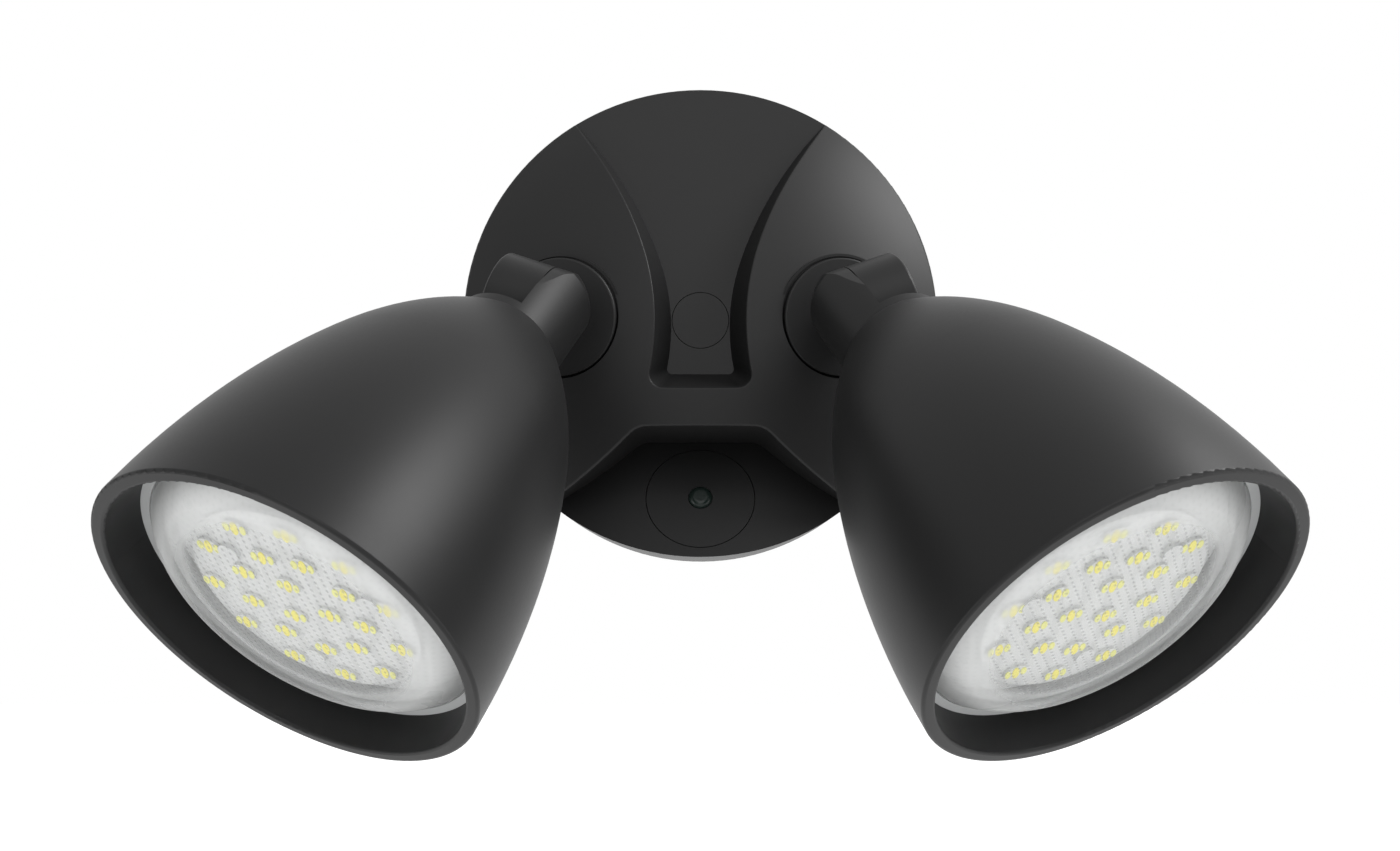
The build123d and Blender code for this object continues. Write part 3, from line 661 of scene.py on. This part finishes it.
@dataclass
class RingTree:
    """Node tree that sets one unit round each of the chips' three rings."""

    name: str
    material: bpy.types.Material
    corners: int = 20
    group: bpy.types.NodeTree = field(init=False)
    source: bpy.types.Node = field(init=False)
    identifiers: dict[str, str] = field(init=False, default_factory=dict)

    def __post_init__(self) -> None:
        """Build the tree."""
        self.group = bpy.data.node_groups.new(self.name, "GeometryNodeTree")
        self.group.interface.new_socket(
            "Geometry", in_out="OUTPUT", socket_type="NodeSocketGeometry"
        )
        for name in ("Size", "Shift"):
            self.add_input(name, "NodeSocketVector")
        for ring in RINGS:
            self.add_input(f"Radius {ring}", "NodeSocketFloat")
            self.add_input(f"Count {ring}", "NodeSocketInt")
            self.add_input(f"Start {ring}", "NodeSocketFloat")
        self.source = add_node(self.group, "NodeGroupInput")
        unit = self.unit_body()
        rings = add_node(self.group, "GeometryNodeJoinGeometry")
        for ring in reversed(RINGS):
            feed(self.group, rings.inputs[0], self.ring_of(unit, ring))
        real = self.node("GeometryNodeRealizeInstances", {0: rings.outputs[0]})
        inputs = {"Geometry": real, "Material": self.material}
        painted = self.node("GeometryNodeSetMaterial", inputs)
        add_node(self.group, "NodeGroupOutput", inputs={0: painted})

    def add_input(self, name: str, kind: str) -> None:
        """Add a named input and note its identifier."""
        entry = self.group.interface.new_socket(name, in_out="INPUT", socket_type=kind)
        self.identifiers[name] = entry.identifier

    def node(self, kind: str, inputs: dict, out: str | int = 0) -> bpy.types.NodeSocket:
        """Add one node with its inputs, and take one output."""
        return add_node(self.group, kind, inputs=inputs).outputs[out]

    def unit_body(self) -> bpy.types.NodeSocket:
        """Rounded block at its shift from a chip's middle.

        Returns:
            Its geometry.
        """
        shape = {"Vertices": self.corners, "Radius": 0.5, "Depth": 1.0}
        disc = self.node("GeometryNodeMeshCylinder", shape, "Mesh")
        size, shift = self.source.outputs["Size"], self.source.outputs["Shift"]
        sized = self.node("GeometryNodeTransform", {"Geometry": disc, "Scale": size})
        return self.node("GeometryNodeTransform", {"Geometry": sized, "Translation": shift})

    def ring_of(self, unit: bpy.types.NodeSocket, ring: int) -> bpy.types.NodeSocket:
        """Units round one ring, all turned the same way.

        Args:
            unit: Geometry of one unit.
            ring: Number of the ring, from the middle.

        Returns:
            The ring's instances.
        """
        radius, count, start = (
            self.source.outputs[f"{part} {ring}"] for part in ("Radius", "Count", "Start")
        )
        angle = self.node("ShaderNodeCombineXYZ", {"Z": start})
        circle = self.node("GeometryNodeMeshCircle", {"Vertices": count, "Radius": radius})
        turned = self.node("GeometryNodeTransform", {"Geometry": circle, "Rotation": angle})
        return self.node("GeometryNodeInstanceOnPoints", {"Points": turned, "Instance": unit})


@dataclass
class LampHead:
    """One lamp head: its frame, light-emitting chips and lens."""

    side: Side
    yaw: float = math.radians(61.0)
    pitch: float = math.radians(46.9)
    elbow: Vector = field(default_factory=lambda: Vector((-41.990, -66.144, -6.254)) * MM)
    tilt: Vector = field(default_factory=lambda: Vector((-0.93503, 0.10419, 0.33893)))
    mouth_reach: float = 107.4 * MM
    lens_radius: float = 34.2 * MM
    lens_edge_back: float = 9.5 * MM
    lens_height: float = 8.5 * MM
    lens_wall: float = 2.2 * MM
    crown_radius: float = 24.0 * MM
    crown_drop: float = 1.9 * MM
    flange_radius: float = 36.2 * MM
    flange_back: float = 11.5 * MM
    foot_back: float = 14.5 * MM
    crown_steps: int = 16
    side_steps: int = 14
    steps_round: int = 144
    inward_slope: float = -0.05
    foot_margin: float = 0.01 * MM
    board_back: float = 7.5 * MM
    ring_radii: tuple[float, ...] = (5.4 * MM, 12.9 * MM, 20.5 * MM)
    ring_counts: tuple[int, ...] = (3, 9, 11)
    ring_starts: tuple[float, ...] = (60.0, 22.9, 9.7)
    package: Unit = Unit("chip_bodies", (5.0 * MM, 3.8 * MM, 0.7 * MM), 0.35 * MM)
    dies: tuple[Unit, ...] = (
        Unit("chip_dies", (1.6 * MM, 3.5 * MM, 0.2 * MM), 0.75 * MM),
        Unit(
            "chip_dies_high", (1.35 * MM, 2.3 * MM, 0.2 * MM), 0.75 * MM, (1.75 * MM, 0.3 * MM)
        ),
        Unit(
            "chip_dies_low", (1.25 * MM, 2.3 * MM, 0.2 * MM), 0.75 * MM, (-1.75 * MM, -0.2 * MM)
        ),
    )

    def place(self, back: float = 0.0) -> Matrix:
        """Frame of the head at a level, with Z out of the mouth and X along the tilt axis.

        Args:
            back: Distance of the level behind the mouth.

        Returns:
            Matrix from that frame to the object's frame.
        """
        out = Vector((
            -math.cos(self.pitch) * math.cos(self.yaw),
            -math.cos(self.pitch) * math.sin(self.yaw),
            -math.sin(self.pitch),
        ))
        up = out.cross(self.tilt).normalized()
        across = up.cross(out).normalized()
        centre = self.elbow + out * (self.mouth_reach - back)
        left = Matrix((
            (across.x, up.x, out.x, centre.x),
            (across.y, up.y, out.y, centre.y),
            (across.z, up.z, out.z, centre.z),
            (0.0, 0.0, 0.0, 1.0),
        ))
        return left if self.side is Side.LEFT else MIRROR_X @ left @ MIRROR_X

    def arc(self, start: Pair, heading: float, end: Pair, steps: int) -> list[Pair]:
        """Points of the arc that leaves a point at a heading and ends at another.

        Args:
            start: First point, radius and height.
            heading: Angle of the arc's start, anticlockwise from outwards.
            end: Last point.
            steps: Number of steps.

        Returns:
            The points after the first.
        """
        first = complex(*start)
        run = complex(*end) - first
        turn = 2 * (math.atan2(run.imag, run.real) - heading)
        spoke = math.copysign(1.0, turn) * math.pi / 2 + heading
        radius = abs(run) / (2 * math.sin(abs(turn) / 2))
        middle = first + radius * complex(math.cos(spoke), math.sin(spoke))
        points = []
        for step in range(1, steps + 1):
            angle = spoke + turn * step / steps
            spot = middle - radius * complex(math.cos(angle), math.sin(angle))
            points.append((spot.real, spot.imag))
        return points

    def dome(self, drop: float, rim: float, rim_height: float) -> list[Pair]:
        """Half outline of the lens dome from its apex outwards.

        Args:
            drop: How far the outline lies under the outer skin at the apex.
            rim: Radius at which the outline ends.
            rim_height: Height at which it ends, measured from the mouth.

        Returns:
            Radius and height of each point, measured from the mouth.
        """
        apex = self.lens_height - self.lens_edge_back - drop
        bow = (self.crown_radius**2 + self.crown_drop**2) / (2 * self.crown_drop)
        edge = math.asin(self.crown_radius / bow)
        points = [(0.0, apex)]
        for step in range(1, self.crown_steps + 1):
            angle = edge * step / self.crown_steps
            points.append((bow * math.sin(angle), apex - bow * (1 - math.cos(angle))))
        return points + self.arc(points[-1], -edge, (rim, rim_height), self.side_steps)

    def finished(self, piece: bpy.types.Object, solid: str) -> None:
        """Let a piece stand for a solid of this head and ride on the head.

        Args:
            piece: The piece.
            solid: Name of the solid, without its side.
        """
        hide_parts(self.side.prefix + solid)
        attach(piece, self.side.prefix + "head")
        log.info("made %s with %d faces", piece.name, len(piece.data.polygons))

    def make_lens(self) -> None:
        """Build the domed lens with its flange, with the prisms on its inside."""
        inner_rim = self.lens_radius - self.lens_wall
        outer = self.dome(0.0, self.lens_radius, -self.lens_edge_back)
        inner = self.dome(self.lens_wall, inner_rim, -self.lens_edge_back - self.lens_wall / 2)
        flange = [
            (self.lens_radius, -self.flange_back),
            (self.flange_radius, -self.flange_back),
            (self.flange_radius, -self.foot_back),
            (inner_rim, -self.foot_back),
        ]
        name, place = self.side.prefix + "lens_dome", self.place()
        mesh = turned_mesh(name, outer + flange + inner[::-1], place, self.steps_round)
        for finish, part in ((LensSkin, "lens_skin"), (LensPrisms, "lens_prisms")):
            mesh.materials.append(finish(self.side.prefix + part, place).make())
        back = place.inverted()
        for face in mesh.polygons:
            spot = back @ face.center
            faces_in = (back.to_3x3() @ face.normal).z < self.inward_slope
            over_foot = spot.z > -self.foot_back + self.foot_margin
            if faces_in and over_foot and math.hypot(spot.x, spot.y) < inner_rim:
                face.material_index = 1
        self.finished(new_piece(name, mesh), "lens")

    def make_ring_piece(self, unit: Unit, material: bpy.types.Material) -> None:
        """Build one unit of every chip as one plain mesh.

        Args:
            unit: The unit.
            material: Its material.
        """
        tree = RingTree(self.side.prefix + unit.name, material)
        piece = new_piece(self.side.prefix + unit.name, bpy.data.meshes.new(unit.name))
        modifier = piece.modifiers.new("rings", "NODES")
        modifier.node_group = tree.group
        values = {"Size": unit.size, "Shift": (*unit.shift, unit.lift)}
        sizes = zip(RINGS, self.ring_radii, self.ring_counts, self.ring_starts)
        for ring, radius, count, start in sizes:
            values[f"Radius {ring}"] = radius
            values[f"Count {ring}"] = count
            values[f"Start {ring}"] = math.radians(start)
        for name, value in values.items():
            modifier[tree.identifiers[name]] = value
        piece.update_tag()
        evaluated = piece.evaluated_get(bpy.context.evaluated_depsgraph_get())
        mesh = bpy.data.meshes.new_from_object(evaluated)
        piece.modifiers.remove(modifier)
        mesh.name = piece.name
        if self.side is Side.LEFT:
            mesh.transform(self.place(self.board_back))
        else:
            mesh.transform(self.place(self.board_back) @ MIRROR_X)
            mesh.flip_normals()
        piece.data = mesh
        self.finished(piece, "led_chips")

    def make_chips(
        self, body: bpy.types.Material, bright: bpy.types.Material, faint: bpy.types.Material
    ) -> None:
        """Build the light-emitting chips.

        Args:
            body: Material of the white bodies.
            bright: Material of the middle dies.
            faint: Material of the outer dies.
        """
        self.make_ring_piece(self.package, body)
        for unit, material in zip(self.dies, (bright, faint, faint)):
            self.make_ring_piece(unit, material)


@dataclass
class Dressing:
    """Finishes of the solids that keep their own shape."""

    finishes: dict[str, bpy.types.Material] = field(default_factory=dict)

    def add(self, material: bpy.types.Material, *solids: str) -> None:
        """Note one material for several solids."""
        for name in solids:
            self.finishes[name] = material

    def add_pair(self, material: bpy.types.Material, *solids: str) -> None:
        """Note one material for the left and right solid of each name."""
        for side in Side:
            self.add(material, *(side.prefix + name for name in solids))

    def choose_base(self) -> None:
        """Finishes of the base and of what it holds."""
        self.add(PowderCoat("cover_coat").make(), "base_cover", "bolt_cap", "sensor_bezel")
        strap = PlatedMetal("strap_steel", (0.58, 0.58, 0.58), roughness=0.55).make()
        self.add(strap, "back_plate", "mounting_strap")
        self.add(CircuitBoard("driver_mask").make(), "driver_board", "sensor_board")
        foam = MouldedPlastic(
            "gasket_foam",
            (0.02, 0.02, 0.02),
            roughness=Sheen.MATT.value,
            grain_scale=600.0,
            grain_depth=6e-5,
        )
        window = MouldedPlastic("sensor_window", (0.008, 0.014, 0.012), roughness=0.28, level=0.2)
        sleeve = MouldedPlastic("capacitor_sleeve", (0.015, 0.015, 0.025), roughness=0.2)
        plastics = {
            "wall_gasket": foam,
            "ground_screw": MouldedPlastic("ground_green", (0.02, 0.2, 0.06), roughness=0.4),
            "transformer": MouldedPlastic("winding_tape", (0.55, 0.42, 0.08), roughness=0.4),
            "capacitors": sleeve,
            "terminal_block": MouldedPlastic("terminal_white", (0.7, 0.7, 0.68)),
            "sensor_lens": window,
            "sensor_cell": MouldedPlastic("sensor_cell_red", (0.3, 0.06, 0.03), roughness=0.25),
        }
        for name, finish in plastics.items():
            self.add(finish.make(), name)

    def choose_heads(self, heads: list[LampHead]) -> None:
        """Finishes of the swivels and of the lamp heads.

        Args:
            heads: The two heads, for their light boards' frames.
        """
        coat = PowderCoat("head_coat").make()
        sink = PlatedMetal("sink_metal", (0.72, 0.73, 0.74)).make()
        white = MouldedPlastic("reflector_white", (0.88, 0.89, 0.89), roughness=0.45).make()
        grey = MouldedPlastic("bezel_grey", (0.5, 0.51, 0.51), roughness=0.45).make()
        self.add_pair(coat, "head_shell", "neck", "swivel_arm", "tilt_cap")
        self.add_pair(sink, "heat_sink")
        self.add_pair(white, "reflector")
        self.add_pair(grey, "lens_bezel")
        for head in heads:
            board = WhiteBoard(head.side.prefix + "board_mask", head.place(head.board_back)).make()
            self.add(board, head.side.prefix + "led_board")

    def choose_small_parts(self) -> None:
        """Finishes of the screws, nuts and seals."""
        steel = PlatedMetal("zinc_plate", (0.62, 0.62, 0.6)).make()
        white = MouldedPlastic("screw_white", (0.6, 0.61, 0.61), roughness=0.5).make()
        rubber = MouldedPlastic("seal_rubber", (0.012, 0.012, 0.012), roughness=0.8).make()
        self.add(steel, "plate_screws", "mounting_bolt", "board_screws", "sensor_screws")
        self.add_pair(
            steel, "swivel_washer", "swivel_nut", "tilt_screw", "neck_nut", "sink_screws"
        )
        self.add_pair(white, "led_screws")
        self.add(rubber, "bolt_seal", "wire_grommet")
        self.add_pair(rubber, "swivel_seal", "tilt_washer", "lens_seal")

    def apply(self) -> None:
        """Put each material into its solid's slots."""
        for name, material in self.finishes.items():
            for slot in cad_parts[name].material_slots:
                slot.material = material
            log.info("dressed %s in %s", name, material.name)


@dataclass(frozen=True)
class Lamp:
    """One soft square lamp: its name, where it hangs in metres and its power in watts."""

    name: str
    at: Point
    power: float


@dataclass
class Studio:
    """Camera, lamps, floor and white surroundings."""

    camera_at: Vector = field(default_factory=lambda: Vector((0.0, -340.0, -80.22)) * MM)
    camera_pitch: float = math.radians(3.67)
    focal_pixels: float = 1121.5
    centre: Pair = (700.4, 536.88)
    sensor_width: float = 36.0
    clip_start: float = 0.01
    surround: float = 0.62
    floor_level: float = -0.62
    floor_half: float = 6.0
    floor_grey: float = 0.55
    floor_roughness: float = 0.9
    floor_glow: float = 0.9
    aim: Point = (0.0, -0.08, -0.02)
    lamp_size: float = 0.5
    lamps: tuple[Lamp, ...] = (
        Lamp("key", (0.72, -0.33, 0.6), 11.5),
        Lamp("high_front", (0.0, -0.93, 0.48), 1.0),
        Lamp("front", (0.0, -1.08, 0.13), 1.3),
        Lamp("low_left", (-0.9, -0.33, -0.37), 1.5),
        Lamp("low_right", (0.9, -0.33, -0.37), 1.0),
    )

    def set_camera(self) -> None:
        """Place the camera at the photographed angle."""
        data = bpy.data.cameras.new("camera")
        data.sensor_width = self.sensor_width
        data.lens = self.focal_pixels * self.sensor_width / PHOTO_WIDTH
        data.shift_x = (PHOTO_WIDTH / 2 - self.centre[0]) / PHOTO_WIDTH
        data.shift_y = (self.centre[1] - PHOTO_HEIGHT / 2) / PHOTO_WIDTH
        data.clip_start = self.clip_start
        camera = bpy.data.objects.new("camera", data)
        camera.location = self.camera_at
        camera.rotation_euler = (math.pi / 2 + self.camera_pitch, 0.0, 0.0)
        bpy.context.scene.collection.objects.link(camera)
        bpy.context.scene.camera = camera

    def hang(self, lamp: Lamp) -> None:
        """Hang one lamp, turned to the light's middle.

        Args:
            lamp: The lamp.
        """
        data = bpy.data.lights.new(lamp.name, "AREA")
        data.shape = "RECTANGLE"
        data.size = data.size_y = self.lamp_size
        data.energy = lamp.power
        hung = bpy.data.objects.new(lamp.name, data)
        hung.location = lamp.at
        way = Vector(self.aim) - Vector(lamp.at)
        hung.rotation_euler = way.to_track_quat("-Z", "Y").to_euler()
        bpy.context.scene.collection.objects.link(hung)

    def white_to_view(self, tree: bpy.types.NodeTree) -> Wire:
        """Strength of 1 for what is seen, mirrored or seen through, and less for plain light.

        Args:
            tree: Node tree that needs it.

        Returns:
            The strength.
        """
        path = add_node(tree, "ShaderNodeLightPath")
        camera, glossy, through = (Wire(tree, path.outputs[ray]) for ray in SEEN_RAYS)
        seen = camera.larger(glossy).larger(through)
        return seen * (1.0 - self.surround) + self.surround

    def set_world(self) -> None:
        """White surroundings, which light the object at a plain level."""
        world = bpy.data.worlds.new("surroundings")
        world.use_nodes = True
        bpy.context.scene.world = world
        tree = world.node_tree
        tree.nodes.clear()
        inputs = {"Color": WHITE, "Strength": self.white_to_view(tree)}
        background = add_node(tree, "ShaderNodeBackground", inputs=inputs)
        add_node(tree, "ShaderNodeOutputWorld", inputs={"Surface": background.outputs[0]})

    def set_floor(self) -> None:
        """Wide pale floor far under the light."""
        half = self.floor_half
        mesh = bpy.data.meshes.new("floor")
        corners = [(-half, -half), (half, -half), (half, half), (-half, half)]
        mesh.from_pydata([(x, y, self.floor_level) for x, y in corners], [], [(0, 1, 2, 3)])
        floor = new_piece("floor", mesh)
        bench = Bench("pale_floor")
        bench.fit(
            Base_Color=(self.floor_grey, self.floor_grey, self.floor_grey, 1.0),
            Roughness=self.floor_roughness,
            Specular_IOR_Level=0.0,
            Emission_Color=WHITE,
            Emission_Strength=self.white_to_view(bench.tree) * self.floor_glow,
        )
        floor.data.materials.append(bench.material)

    def build(self) -> None:
        """Set the whole studio up."""
        self.set_camera()
        self.set_world()
        self.set_floor()
        for lamp in self.lamps:
            self.hang(lamp)
        bpy.context.scene.view_settings.view_transform = "Standard"


def main() -> None:
    """Build the dressed light and its studio."""
    logging.basicConfig(level=logging.INFO, format="%(message)s")
    heads = [LampHead(side) for side in Side]
    dressing = Dressing()
    dressing.choose_base()
    dressing.choose_heads(heads)
    dressing.choose_small_parts()
    dressing.apply()
    body = MouldedPlastic("chip_white", (0.62, 0.63, 0.62), roughness=0.5).make()
    bright = Phosphor("phosphor", (0.88, 0.84, 0.05), (0.84, 0.68, 0.02)).make()
    faint = Phosphor("phosphor_edge", (0.82, 0.82, 0.2), (0.76, 0.74, 0.12)).make()
    for head in heads:
        head.make_lens()
        head.make_chips(body, bright, faint)
    Studio().build()


if __name__ == "__main__":
    main()
